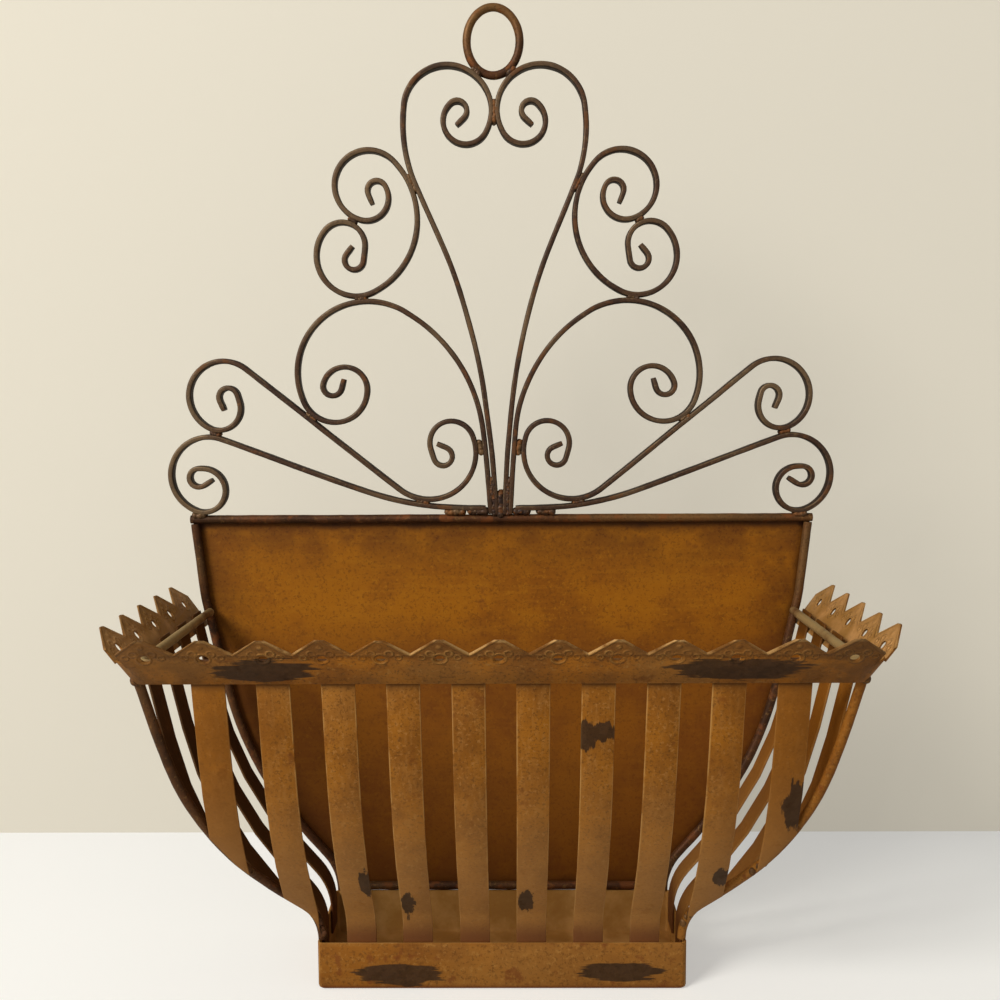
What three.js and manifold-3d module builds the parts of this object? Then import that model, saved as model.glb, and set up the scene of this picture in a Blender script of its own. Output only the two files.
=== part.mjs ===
// A wall planter of painted sheet and flat bar: a bowed slatted bowl with a toothed, pierced
// gallery round its rim, a flat sheet back, a tray for a foot, and a crest of bent-bar scrolls
// under an oval hanging ring.  Every joint on the object is a weld.
// Millimetres, +Z up, front towards -Y.  The origin is the middle of the tray's underside.
import * as THREE from 'three';
import { mergeVertices } from 'three/addons/utils/BufferGeometryUtils.js';
import Module from 'manifold-3d';

const wasm = await Module();
wasm.setup();

// ---- driving dimensions ---------------------------------------------------------------------

const weldGap = 0.3;          // clearance kept between two pieces that are welded together
const sheet = 1;              // thickness of the tray, the gallery and the back panel
const rod = 5;                // diameter of the frame, rim and corner rods
const barThick = 3.1;         // scroll bar, seen from the front
const barDeep = 7;            // scroll bar, front to back

const trayWidth = 207;
const trayDeep = 69;
const trayTall = 27;
const trayCorner = 3;         // radius on the tray's upright corners
const trayFold = 2;           // radius of the fold between the tray's floor and its walls

// One bent line shapes the back's side edges, the slats and the corner rods: a run is a
// length, a bend is [radius, degrees], left turns positive.
const flareRadius = 35;       // sweeps out from the tray
const flareTurn = 40.7;
const flareRun = 20;
const bellyRadius = 211;      // long easy curve back towards the upright
const bellyTurn = 28;
const rimRun = 50;            // straight up to the rim
const neckRadius = 100;       // the back alone goes on above the rim
const neckTurn = 7;
const neckRun = 41.5;
const frontFlare = 0.93;      // how far the front bows out, as a share of the sides

const slatWide = 16.5;
const slatThick = 1.2;
const slatFoot = 12;          // height of the slats' lower ends above the tray's underside
const frontSlats = 10;
const frontInset = 37.9;      // bowl's side to the middle of the outermost front slat, at the rim
const frontShift = 0.7;       // the row of front slats stands a little to the right
const sideSlats = 4;
const sideStart = 19;         // back plane to the middle of the rearmost side slat
const sideInset = 28.6;       // bowl's front to the middle of the foremost one, at the rim
const cornerProud = 1.3;      // how far a corner rod stands out from the side slats
const frontLap = 0.5;         // the outer front slats are cut this far inside the side slats

const galleryTall = 32.3;      // measured up the slope, foot to tooth tip
const galleryLean = 36;       // degrees out from the upright
const galleryDrop = 11;       // the gallery's lower edge hangs this far under the rim
const galleryBend = 6;        // radius of the band's bend at the two front corners
const toothSpread = 3.6;      // the front's row of teeth is longer than its foot by this, each end
const toothTuck = 0.5;        // and a side's row by this, at the corner
const frontTeeth = 13;
const sideTeeth = 5;
const toothTall = 11;
const tipWide = 4.4;
const pierceWide = 4.8;       // diameter of the hole under each tooth
const pierceDrop = 3;         // the hole's middle below the foot of the teeth

const ringWide = 35.4;
const ringTall = 43;
const ringRod = 4.8;
const crestLean = -0.0116;    // sideways drift of the crest for each millimetre of height

// The bends common to every curled end: the jig's tight pin and its wider one.
const curlTight = 5.6;
const curlWide = 13.2;
const curlTail = 6;           // the tip is left straight for this length
const jigHalf = 186.6;        // half width of the back that the crest's bends are written for

// ---- small tools ----------------------------------------------------------------------------

const radians = THREE.MathUtils.degToRad;

// Points along a line that starts at (x, z) in the given direction and follows its runs and
// bends, each tangent to the one before.
function bentLine(x, z, degrees, steps, stepDegrees = 11) {
  const points = [new THREE.Vector2(x, z)];
  let heading = radians(degrees);
  for (const step of steps) {
    const last = points[points.length - 1];
    if (typeof step === 'number') {
      const run = new THREE.Vector2(Math.cos(heading), Math.sin(heading)).multiplyScalar(step);
      points.push(last.clone().add(run));
      continue;
    }
    const [radius, turn] = step;
    const side = Math.sign(turn);
    const centre = last.clone().add(
      new THREE.Vector2(-Math.sin(heading), Math.cos(heading)).multiplyScalar(radius * side));
    const count = Math.max(3, Math.ceil(Math.abs(turn) / stepDegrees));
    for (let i = 1; i <= count; i += 1) {
      const at = heading + radians(turn * i / count);
      points.push(new THREE.Vector2(
        centre.x + radius * side * Math.sin(at),
        centre.y - radius * side * Math.cos(at)));
    }
    heading += radians(turn);
  }
  return points;
}

// Unit normals, pointing left of the line.
function normals(line) {
  return line.map((point, i) => {
    const before = line[Math.max(i - 1, 0)];
    const after = line[Math.min(i + 1, line.length - 1)];
    const along = after.clone().sub(before).normalize();
    return new THREE.Vector2(-along.y, along.x);
  });
}

// The line moved sideways by a distance, left positive.
function offset(line, distance) {
  const left = normals(line);
  return line.map((point, i) => point.clone().addScaledVector(left[i], distance));
}

// A closed outline between two parallel lines.
function bandShape(line, leftBy, rightBy) {
  const left = offset(line, leftBy);
  const right = offset(line, -rightBy).reverse();
  return new THREE.Shape([...left, ...right]);
}

function extrude(shape, depth) {
  return new THREE.ExtrudeGeometry(shape, { depth, bevelEnabled: false, curveSegments: 6 });
}

// Distance from a point to the nearest place on a line of points.
function distanceTo(line, point) {
  const segment = new THREE.Line3();
  const nearest = new THREE.Vector3();
  let best = Infinity;
  for (let i = 1; i < line.length; i += 1) {
    segment.start.set(line[i - 1].x, line[i - 1].y, 0);
    segment.end.set(line[i].x, line[i].y, 0);
    segment.closestPointToPoint(new THREE.Vector3(point.x, point.y, 0), true, nearest);
    best = Math.min(best, Math.hypot(nearest.x - point.x, nearest.y - point.y));
  }
  return best;
}

function clearance(line, others) {
  let best = Infinity;
  for (const other of others) {
    for (const point of line) best = Math.min(best, distanceTo(other, point));
    for (const point of other) best = Math.min(best, distanceTo(line, point));
  }
  return best;
}

function moved(line, dx, dz) {
  return line.map((point) => new THREE.Vector2(point.x + dx, point.y + dz));
}

function mirrored(line) {
  return line.map((point) => new THREE.Vector2(-point.x, point.y));
}

// Slides a line along a direction until its nearest approach to the others is the reach: how a
// scroll is brought up to its neighbours before it is welded.  Each step is the room that is
// left, so it never slides past; a line that starts too near is drawn back.
function seat(line, others, reach, dx, dz) {
  let gone = 0;
  for (let i = 0; i < 40 && gone < 15; i += 1) {
    const room = clearance(moved(line, dx * gone, dz * gone), others) - reach;
    if (Math.abs(room) < 0.005) break;
    gone += room;
  }
  return moved(line, dx * gone, dz * gone);
}

// A curve through given stations, so that a rod has a ring of points at each of them only.
class StationCurve extends THREE.Curve {
  constructor(stations) {
    super();
    this.stations = stations;
  }

  getPointAt(u, target = new THREE.Vector3()) {
    return target.copy(this.stations[Math.round(u * (this.stations.length - 1))]);
  }

  getTangentAt(u, target = new THREE.Vector3()) {
    const last = this.stations.length - 1;
    const i = Math.round(u * last);
    const before = this.stations[Math.max(i - 1, 0)];
    const after = this.stations[Math.min(i + 1, last)];
    return target.subVectors(after, before).normalize();
  }
}

function roundRod(stations, diameter, sides = 8) {
  const section = new THREE.Shape();
  for (let i = 0; i < sides; i += 1) {
    const angle = 2 * Math.PI * i / sides;
    const x = Math.cos(angle) * diameter / 2;
    const y = Math.sin(angle) * diameter / 2;
    if (i === 0) section.moveTo(x, y);
    else section.lineTo(x, y);
  }
  return new THREE.ExtrudeGeometry(section, {
    steps: stations.length - 1,
    extrudePath: new StationCurve(stations),
    bevelEnabled: false,
  });
}

function toSolid(geometry) {
  const bare = geometry.clone();
  bare.deleteAttribute('normal');
  bare.deleteAttribute('uv');
  const merged = mergeVertices(bare, 1e-4);
  return new wasm.Manifold(new wasm.Mesh({
    numProp: 3,
    vertProperties: new Float32Array(merged.attributes.position.array),
    triVerts: new Uint32Array(merged.index.array),
  }));
}

function toGeometry(solid) {
  const mesh = solid.getMesh();
  const geometry = new THREE.BufferGeometry();
  geometry.setAttribute('position', new THREE.BufferAttribute(mesh.vertProperties.slice(), 3));
  geometry.setIndex(new THREE.BufferAttribute(mesh.triVerts.slice(), 1));
  geometry.computeVertexNormals();
  return geometry;
}

function join(geometries) {
  return toGeometry(geometries.map(toSolid).reduce((a, b) => a.add(b)));
}

function cut(geometry, tool) {
  return toGeometry(toSolid(geometry).subtract(toSolid(tool)));
}

// ---- finishes -------------------------------------------------------------------------------

function bronzeSheet() {
  return new THREE.MeshStandardMaterial({ color: 0x8f6224, roughness: 0.62, metalness: 0.55 });
}

function goldSlat() {
  return new THREE.MeshStandardMaterial({ color: 0xa67a38, roughness: 0.58, metalness: 0.55 });
}

function greyedSheet() {
  return new THREE.MeshStandardMaterial({ color: 0x8a6a44, roughness: 0.66, metalness: 0.5 });
}

function darkRod() {
  return new THREE.MeshStandardMaterial({ color: 0x4a3226, roughness: 0.6, metalness: 0.6 });
}

function darkBar() {
  return new THREE.MeshStandardMaterial({ color: 0x4e382a, roughness: 0.57, metalness: 0.6 });
}

function rustTray() {
  return new THREE.MeshStandardMaterial({ color: 0x8a5626, roughness: 0.64, metalness: 0.5 });
}

// ---- the lines that everything follows ------------------------------------------------------

const frameY = trayDeep / 2;                        // plane of the back's rods
const sideFoot = trayWidth / 2 - sheet - weldGap;   // outer face of a side slat in the tray
const bowlSteps = [
  trayTall - slatFoot,
  [flareRadius, -flareTurn],
  flareRun,
  [bellyRadius, bellyTurn],
  rimRun,
];

// Outer face of the side slats, as (x, z), from their feet to the rim.
const sideLine = bentLine(sideFoot, slatFoot, 90, bowlSteps, 8);
const rimPoint = sideLine[sideLine.length - 1];
const rimHeight = rimPoint.y;
const rimHalf = rimPoint.x;

// The front bows out less: the same line drawn in towards the tray's front wall.
const frontFoot = trayDeep - sheet - weldGap;
const frontLine = sideLine.map((point) => new THREE.Vector2(
  frontFoot + (point.x - sideFoot) * frontFlare, point.y));
const rimDeep = frontLine[frontLine.length - 1].x;
const frontPitch = 2 * (rimHalf - frontInset) / (frontSlats - 1);
const sidePitch = (rimDeep - sideInset - sideStart) / (sideSlats - 1);

// Outer edge of the back, from the tray's top edge to the top rail.
const backLine = bentLine(sideFoot, trayTall + weldGap, 90, [
  ...bowlSteps.slice(1),
  [neckRadius, neckTurn],
  neckRun,
], 8);
const railPoint = backLine[backLine.length - 1];
const railHeight = railPoint.y;
const rodLine = backLine.map((point) => new THREE.Vector2(point.x - rod / 2, point.y));

// ---- the back: rods and sheet ---------------------------------------------------------------

function sideRod(side) {
  const top = rodLine.length - 1;
  const stations = rodLine.map((point, i) => new THREE.Vector3(
    side * point.x, frameY, i === top ? railHeight - rod / 2 - weldGap : point.y));
  return roundRod(stations, rod);
}

function topRail() {
  const half = railPoint.x;
  return roundRod([
    new THREE.Vector3(-half, frameY, railHeight),
    new THREE.Vector3(half, frameY, railHeight),
  ], rod);
}

function bottomRail() {
  const half = rodLine[0].x - rod / 2 - weldGap;
  const height = trayTall + weldGap + rod / 2;
  return roundRod([
    new THREE.Vector3(-half, frameY, height),
    new THREE.Vector3(half, frameY, height),
  ], rod);
}

// The sheet lies behind the rods, cut to their outer edges.
function backPanel() {
  const edge = backLine.map((point) => new THREE.Vector2(point.x - weldGap, point.y));
  const shape = new THREE.Shape([...edge, ...mirrored(edge).reverse()]);
  const geometry = extrude(shape, sheet);
  geometry.rotateX(Math.PI / 2);
  geometry.translate(0, frameY + rod / 2 + weldGap + sheet, 0);
  return geometry;
}

// ---- the tray -------------------------------------------------------------------------------

function roundedBlock(width, deep, tall, corner) {
  const shape = new THREE.Shape();
  const x = width / 2 - corner;
  const y = deep / 2 - corner;
  shape.absarc(x, y, corner, 0, Math.PI / 2);
  shape.absarc(-x, y, corner, Math.PI / 2, Math.PI);
  shape.absarc(-x, -y, corner, Math.PI, 1.5 * Math.PI);
  shape.absarc(x, -y, corner, 1.5 * Math.PI, 2 * Math.PI);
  return extrude(shape, tall);
}

// A rounded block whose lower edge is folded up on a radius, in a few steps.
function foldedBlock(width, deep, tall, corner, fold) {
  const slices = [];
  const foldSteps = 3;
  for (let i = 0; i <= foldSteps; i += 1) {
    const angle = Math.PI / 2 * i / foldSteps;
    const drawnIn = fold * (1 - Math.sin(angle));
    const low = fold * (1 - Math.cos(angle));
    const slice = roundedBlock(width - 2 * drawnIn, deep - 2 * drawnIn, tall - low, corner);
    slice.translate(0, 0, low);
    slices.push(slice);
  }
  return join(slices);
}

// Folded from one sheet, open at the top.
function tray() {
  const outside = foldedBlock(trayWidth, trayDeep, trayTall, trayCorner, trayFold);
  const inside = foldedBlock(
    trayWidth - 2 * sheet, trayDeep - 2 * sheet, trayTall, trayCorner - sheet, trayFold - sheet);
  inside.translate(0, 0, sheet);
  return cut(outside, inside);
}

// ---- slats and corner rods ------------------------------------------------------------------

// How far out a line stands at a height.
function across(line, height) {
  const i = Math.max(1, line.findIndex((point) => point.y >= height));
  const low = line[i - 1];
  const high = line[i];
  return low.x + (high.x - low.x) * (height - low.y) / (high.y - low.y);
}

// The corner rods run from the tray's top edge to the gallery and make the bowl's outer edge: they
// are proud of the side slats, which stop behind them, and the front slats lap over them.
const cornerSide = offset(sideLine, rod / 2 - cornerProud);
const cornerFront = offset(frontLine, slatThick + weldGap + rod / 2);
const sideTrim = offset(frontLine, slatThick + weldGap + rod + weldGap);
const frontTrim = offset(sideLine, frontLap);

function cornerRod(side) {
  const top = galleryLow - 2 * weldGap;
  const foot = trayTall + 2 * weldGap;
  const between = cornerSide.map((point) => point.y).filter(
    (height) => height > foot + 3 && height < top - 4);
  const stations = [foot, ...between, top].map(
    (height) => new THREE.Vector3(
      side * across(cornerSide, height), frameY - across(cornerFront, height), height));
  return roundRod(stations, rod);
}

// A strip of the given line, as wide as a slat.
function slatStrip(line) {
  const geometry = extrude(bandShape(line, slatThick, 0), slatWide);
  geometry.translate(0, 0, -slatWide / 2);
  geometry.rotateX(Math.PI / 2);
  return geometry;
}

// Everything outside a line, right across the bowl.
function outsideOf(line) {
  const wide = 3 * rimHalf;
  const high = rimHeight + galleryTall;
  const last = line[line.length - 1];
  const shape = new THREE.Shape([
    new THREE.Vector2(line[0].x, -high),
    new THREE.Vector2(wide, -high),
    new THREE.Vector2(wide, high),
    new THREE.Vector2(last.x, high),
    ...line.slice().reverse(),
  ]);
  const block = extrude(shape, 2 * wide);
  block.translate(0, 0, -wide);
  block.rotateX(Math.PI / 2);
  return block;
}

// The outer front slats end on the corner rods, cut on the slant.
function frontSlat(index) {
  const middle = frontShift + (index - (frontSlats - 1) / 2) * frontPitch;
  const geometry = slatStrip(frontLine);
  geometry.rotateZ(-Math.PI / 2);
  geometry.translate(middle, frameY, 0);
  if (Math.abs(middle) + slatWide / 2 < frontTrim[0].x) return geometry;
  const outside = outsideOf(frontTrim);
  if (middle < 0) outside.rotateZ(Math.PI);
  return cut(geometry, outside);
}

// The forward side slats end on them too.
function sideSlat(side, index) {
  const middle = sideStart + index * sidePitch;
  const geometry = slatStrip(sideLine);
  if (side < 0) geometry.rotateZ(Math.PI);
  geometry.translate(0, frameY - middle, 0);
  if (middle + slatWide / 2 < sideTrim[0].x) return geometry;
  const outside = outsideOf(sideTrim);
  outside.rotateZ(-Math.PI / 2);
  outside.translate(0, frameY, 0);
  return cut(geometry, outside);
}

// ---- the rim rod and the gallery ------------------------------------------------------------

// A rod bent to a U inside the tops of the slats, from one edge of the back round to the other.
function rimRod() {
  const inset = slatThick + weldGap + rod / 2;
  const height = rimHeight - rod / 2;
  const half = across(sideLine, height) - inset;
  const front = frameY - across(frontLine, height) + inset;
  const bend = galleryBend;
  const back = frameY - rod / 2 - weldGap;
  const plan = bentLine(-half, back, -90, [
    back - front - bend, [bend, 90], 2 * (half - bend), [bend, 90], back - front - bend,
  ], 15);
  return roundRod(plan.map((point) => new THREE.Vector3(point.x, point.y, height)), rod);
}

const galleryLow = rimHeight - galleryDrop;
const galleryHalf = across(sideLine, galleryLow) + weldGap;
const galleryDeep = across(frontLine, galleryLow) + weldGap;
const galleryBack = rod / 2 + weldGap + sheet;      // the side strips run back to the sheet

// Outline of a toothed strip lying flat: x along the strip, y up its slope.  Its row of teeth
// spreads past the foot by the given amounts at its two ends.
function toothedShape(length, teeth, spreadStart, spreadEnd) {
  const valley = galleryTall - toothTall;
  const low = bentBand - 2;
  const start = -spreadStart;
  const pitch = (length + spreadStart + spreadEnd) / teeth;
  const shape = new THREE.Shape();
  shape.moveTo(spreadStart ? galleryBend : 0, 0);
  shape.lineTo(length - (spreadEnd ? galleryBend : 0), 0);
  if (spreadEnd) shape.lineTo(length - galleryBend, low);
  if (spreadEnd) shape.lineTo(length, low);
  shape.lineTo(length + spreadEnd, valley);
  for (let i = teeth - 1; i >= 0; i -= 1) {
    const middle = start + (i + 0.5) * pitch;
    shape.lineTo(middle + tipWide / 2, galleryTall - 0.6);
    shape.quadraticCurveTo(middle, galleryTall + 0.8, middle - tipWide / 2, galleryTall - 0.6);
    shape.lineTo(start + i * pitch, valley);
  }
  if (spreadStart) shape.lineTo(0, low);
  if (spreadStart) shape.lineTo(galleryBend, low);
  shape.closePath();
  for (let i = 0; i < teeth; i += 1) {
    const hole = new THREE.Path();
    const middle = start + (i + 0.5) * pitch;
    hole.absarc(middle, valley - pierceDrop, pierceWide / 2, 0, 2 * Math.PI, true);
    shape.holes.push(hole);
  }
  return shape;
}

// Height, up the slope, to which the band is bent round the corner in one piece.
const bentBand = galleryTall - toothTall - pierceDrop - 4;

// Lays a flat strip on its slope: the strip's foot on the X axis, its face towards -Y.
function leaned(geometry) {
  geometry.rotateX(Math.PI / 2 + radians(galleryLean));
  return geometry;
}

function gallery() {
  const front = leaned(extrude(
    toothedShape(2 * galleryHalf, frontTeeth, toothSpread, toothSpread), sheet));
  front.translate(-galleryHalf, frameY - galleryDeep, galleryLow);
  const sideLong = galleryDeep + galleryBack;
  const right = leaned(extrude(toothedShape(sideLong, sideTeeth, toothTuck, 0), sheet));
  right.rotateZ(Math.PI / 2);
  right.translate(galleryHalf, frameY - galleryDeep, galleryLow);
  const left = leaned(extrude(toothedShape(sideLong, sideTeeth, 0, toothTuck), sheet));
  left.rotateZ(-Math.PI / 2);
  left.translate(-galleryHalf, frameY + galleryBack, galleryLow);
  return join([front, right, left, cornerBand(1), cornerBand(-1)]);
}

// The band's conical bend at a front corner.
function cornerBand(side) {
  const out = Math.sin(radians(galleryLean));
  const up = Math.cos(radians(galleryLean));
  const band = bentBand;
  const foot = new THREE.Vector2(galleryBend, 0);
  const top = new THREE.Vector2(galleryBend + band * out, band * up);
  const skin = new THREE.Vector2(sheet * up, -sheet * out);
  const profile = [foot.clone().add(skin), top.clone().add(skin), top, foot];
  profile.push(profile[0]);
  const ring = new THREE.LatheGeometry(profile, 32);
  ring.rotateX(Math.PI / 2);
  const quarter = new THREE.BoxGeometry(60, 60, 60);
  quarter.translate(30 - 0.4, -30 + 0.4, 0);
  const sector = toGeometry(toSolid(ring).intersect(toSolid(quarter)));
  if (side < 0) sector.rotateZ(-Math.PI / 2);
  sector.translate(
    side * (galleryHalf - galleryBend), frameY - galleryDeep + galleryBend, galleryLow);
  return sector;
}

// ---- the crest ------------------------------------------------------------------------------

const reach = barThick + weldGap;                       // between two bars' middles
const jigScale = railPoint.x / jigHalf;                 // the crest grows with the back it spans
const stemUp = (rod / 2 + weldGap) / jigScale;          // the stems' feet, just clear of the rail

// The end of a bar that curls in on itself: a first bend, the wide pin, an easy stretch, the
// tight pin and a straight tip.
function curlIn(first, wide, easy, tight, turn = 1) {
  return [first, [curlWide, turn * wide], easy, [curlTight, turn * tight], curlTail];
}

// The same, run from its tip outwards.
function curlOut(tight, easy, wide, first, turn = 1) {
  return [curlTail, [curlTight, turn * tight], easy, [curlWide, turn * wide], first];
}

// A bar as it comes off the jig, with its start given from the middle of the top rail.
function jigged(across, up, degrees, steps) {
  const sized = steps.map((step) => (
    typeof step === 'number' ? step * jigScale : [step[0] * jigScale, step[1]]));
  return bentLine(across * jigScale, railHeight + up * jigScale, degrees, sized);
}

// The five bars of the right half.
function scrollLines() {
  const half = railPoint.x;
  const railTop = [
    new THREE.Vector2(-half, railHeight + rod / 2 - barThick / 2),
    new THREE.Vector2(half, railHeight + rod / 2 - barThick / 2),
  ];
  const heart = seatOnMirror(jigged(1.7, stemUp, 86, [
    42.5, [396, -22], [88, 34], ...curlIn([25.5, 202], 193, 1, 184),
  ]));
  const fan = seat(jigged(8, stemUp, 85.6, [
    47.8, [92.7, -55], [42.8, -143], ...curlIn([19.7, -157], 160, 1, 185, -1),
  ]), [heart], reach, -1, 0);
  const lower = seat(jigged(9, stemUp + 3, 0, [
    12, [180, 20.3], 88, ...curlIn([23, -177], 203, 2.5, 214, -1),
  ]), [railTop], reach, 0, -1);
  const upperRun = jigged(40, 50, -157.4, [
    ...curlOut(230.6, 5.9, 176.7, [28.4, 148.9]), 115,
    ...curlIn([21, -190], 134, 4.5, 188, -1),
  ]);
  const upper = nestle(upperRun, fan, lower);
  const shoulderRun = jigged(88, 164, -51.3, [
    ...curlOut(211, 7.8, 147, [23.2, -157.6], -1), [47.7, -106],
    ...curlIn([20.3, -210], 131, 1, 178, -1),
  ]);
  const shoulder = nestle(shoulderRun, heart, fan);
  const all = { heart, fan, lower, upper, shoulder };
  return all;
}

// Brings a bar up to the one beside it and down to the one under it, by turns.
function nestle(line, beside, under) {
  let placed = line;
  for (let i = 0; i < 6; i += 1) {
    placed = seat(placed, [beside], reach, -1, 0);
    placed = seat(placed, [under], reach, 0, -1);
  }
  return placed;
}

// Slides a bar sideways until it and its mirror image just clear each other.
function seatOnMirror(line) {
  const least = Math.min(...line.map((point) => point.x));
  return moved(line, reach / 2 - least, 0);
}

const scrolls = scrollLines();

// The whole crest drifts a little to the left as it rises.
function leanedCrest(line) {
  return line.map((point) => new THREE.Vector2(
    point.x + crestLean * (point.y - railHeight), point.y));
}

function scroll(line, side) {
  const run = leanedCrest(side < 0 ? mirrored(line) : line);
  const geometry = extrude(bandShape(run, barThick / 2, barThick / 2), barDeep);
  geometry.rotateX(Math.PI / 2);
  geometry.translate(0, frameY + barDeep / 2, 0);
  return geometry;
}

// The oval ring nests in the valley between the two hearts.
function ringCentre() {
  const oval = new THREE.EllipseCurve(
    0, 0, (ringWide - ringRod) / 2, (ringTall - ringRod) / 2, 0, 2 * Math.PI);
  const high = Math.max(...scrolls.heart.map((point) => point.y)) + ringTall / 2;
  const start = moved(oval.getPoints(48), 0, high);
  const hearts = [scrolls.heart, mirrored(scrolls.heart)];
  const down = seat(moved(start, 0, 0), hearts, barThick / 2 + ringRod / 2 + weldGap, 0, -1);
  return high + down[0].y - start[0].y;
}

function hangingRing() {
  const radius = (ringTall - ringRod) / 2;
  const squeeze = (ringWide - ringRod) / 2;
  const height = ringCentre();
  const geometry = new THREE.TorusGeometry(radius, ringRod / 2, 10, 40);
  const place = geometry.attributes.position;
  for (let i = 0; i < place.count; i += 1) {
    const angle = Math.atan2(place.getY(i), place.getX(i));
    place.setX(i, place.getX(i) - (radius - squeeze) * Math.cos(angle));
  }
  geometry.rotateX(Math.PI / 2);
  geometry.translate(crestLean * (height - railHeight), frameY, height);
  return geometry;
}

// ---- assembly -------------------------------------------------------------------------------

const planter = new THREE.Group();

function add(name, geometry, material) {
  const mesh = new THREE.Mesh(geometry, material);
  mesh.name = name;
  planter.add(mesh);
}

add('back_panel', backPanel(), bronzeSheet());
add('top_rail', topRail(), darkRod());
add('bottom_rail', bottomRail(), darkRod());
add('base_tray', tray(), rustTray());
add('rim_rod', rimRod(), darkRod());
add('gallery', gallery(), greyedSheet());
add('hanging_ring', hangingRing(), darkRod());
for (let i = 0; i < frontSlats; i += 1) {
  add(`front_slat_${i + 1}`, frontSlat(i), goldSlat());
}
for (const [hand, side] of [['left', -1], ['right', 1]]) {
  add(`side_rod_${hand}`, sideRod(side), darkRod());
  add(`corner_rod_${hand}`, cornerRod(side), darkRod());
  for (let i = 0; i < sideSlats; i += 1) {
    add(`side_slat_${hand}_${i + 1}`, sideSlat(side, i), goldSlat());
  }
  add(`heart_scroll_${hand}`, scroll(scrolls.heart, side), darkBar());
  add(`shoulder_scroll_${hand}`, scroll(scrolls.shoulder, side), darkBar());
  add(`fan_scroll_${hand}`, scroll(scrolls.fan, side), darkBar());
  add(`upper_wing_${hand}`, scroll(scrolls.upper, side), darkBar());
  add(`lower_wing_${hand}`, scroll(scrolls.lower, side), darkBar());
}

export default planter;
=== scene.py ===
import math
import random

import bmesh
import bpy
from mathutils import Matrix, Vector, geometry, noise


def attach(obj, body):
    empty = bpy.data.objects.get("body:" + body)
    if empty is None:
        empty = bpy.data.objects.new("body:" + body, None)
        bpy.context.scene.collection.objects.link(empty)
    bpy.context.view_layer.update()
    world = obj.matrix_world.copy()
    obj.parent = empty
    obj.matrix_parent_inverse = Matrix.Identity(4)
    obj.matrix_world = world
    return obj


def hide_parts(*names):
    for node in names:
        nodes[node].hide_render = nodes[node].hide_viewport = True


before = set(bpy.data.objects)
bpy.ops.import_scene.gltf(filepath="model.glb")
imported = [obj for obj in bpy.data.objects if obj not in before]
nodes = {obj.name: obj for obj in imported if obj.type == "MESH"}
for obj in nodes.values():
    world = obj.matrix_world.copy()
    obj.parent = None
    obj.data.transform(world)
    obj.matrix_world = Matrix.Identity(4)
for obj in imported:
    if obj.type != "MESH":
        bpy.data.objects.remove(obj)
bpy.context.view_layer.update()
mm = 0.001
hands = {"left": -1, "right": 1}


cameraSettings = {
    "place": (4.9, -641.6, 332.9),   # mm from the middle of the tray's underside
    "yaw": 0.0079,                   # radians, towards -X
    "pitch": 0.0933,                 # downwards
    "roll": -0.0046,
    "lens": 40.73,                   # on a 36 mm wide sensor
}


def makeCamera(settings):
    data = bpy.data.cameras.new("camera")
    data.sensor_width = 36
    data.lens = settings["lens"]
    camera = bpy.data.objects.new("camera", data)
    bpy.context.scene.collection.objects.link(camera)
    turn = Matrix.Rotation(settings["yaw"], 3, "Z")
    right = turn @ Vector((1, 0, 0))
    forward = turn @ Vector((0, 1, 0))
    up = Vector((0, 0, 1))
    cosPitch, sinPitch = math.cos(settings["pitch"]), math.sin(settings["pitch"])
    look = forward * cosPitch - up * sinPitch
    above = up * cosPitch + forward * sinPitch
    cosRoll, sinRoll = math.cos(settings["roll"]), math.sin(settings["roll"])
    xAxis = right * cosRoll + above * sinRoll
    yAxis = above * cosRoll - right * sinRoll
    axes = Matrix((xAxis, yAxis, -look)).transposed().to_4x4()
    place = Vector(settings["place"]) * mm
    camera.matrix_world = Matrix.Translation(place) @ axes
    bpy.context.scene.camera = camera


lightSettings = {
    "aim": (0, 0, 0.25),    # metres, near the middle of the back sheet
    "key": {"place": (-1.9, -1.75, 1.9), "size": 1.3, "watts": 96.0, "colour": "#fffcf6"},
    "fill": {"place": (1.0, -1.9, 0.9), "size": 1.6, "watts": 2.0, "colour": "#fffaf2"},
    "worldColour": "#fffdf9",
    "worldStrength": 0.36,
}


def linear(hexColour):
    # sRGB hex to linear RGBA
    parts = [int(hexColour[i:i + 2], 16) / 255 for i in (1, 3, 5)]
    return [p / 12.92 if p <= 0.04045 else ((p + 0.055) / 1.055) ** 2.4 for p in parts] + [1.0]


def makeLights(settings):
    for name in ("key", "fill"):
        values = settings[name]
        data = bpy.data.lights.new(name, "AREA")
        data.shape = "DISK"
        data.size = values["size"]
        data.energy = values["watts"]
        data.color = linear(values["colour"])[:3]
        lamp = bpy.data.objects.new(name, data)
        lamp.location = values["place"]
        aim = Vector(settings["aim"]) - Vector(values["place"])
        lamp.rotation_euler = aim.to_track_quat("-Z", "Y").to_euler()
        bpy.context.scene.collection.objects.link(lamp)
    world = bpy.data.worlds.new("softRoom")
    world.use_nodes = True
    background = world.node_tree.nodes["Background"]
    background.inputs["Color"].default_value = linear(settings["worldColour"])
    background.inputs["Strength"].default_value = settings["worldStrength"]
    bpy.context.scene.world = world


# Helpers for nodes and pieces.

def addNode(tree, kind, inputs=None, **settings):
    # adds a node, sets its properties, then sets or links each input by name or index
    node = tree.nodes.new(kind)
    for key, value in settings.items():
        setattr(node, key, value)
    for key, value in (inputs or {}).items():
        socket = node.inputs[key]
        if isinstance(value, bpy.types.NodeSocket):
            tree.links.new(value, socket)
        else:
            socket.default_value = value
    return node


def linkObject(name, mesh, material=None):
    piece = bpy.data.objects.new(name, mesh)
    bpy.context.scene.collection.objects.link(piece)
    if material:
        mesh.materials.clear()
        mesh.materials.append(material)
    return piece


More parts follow.
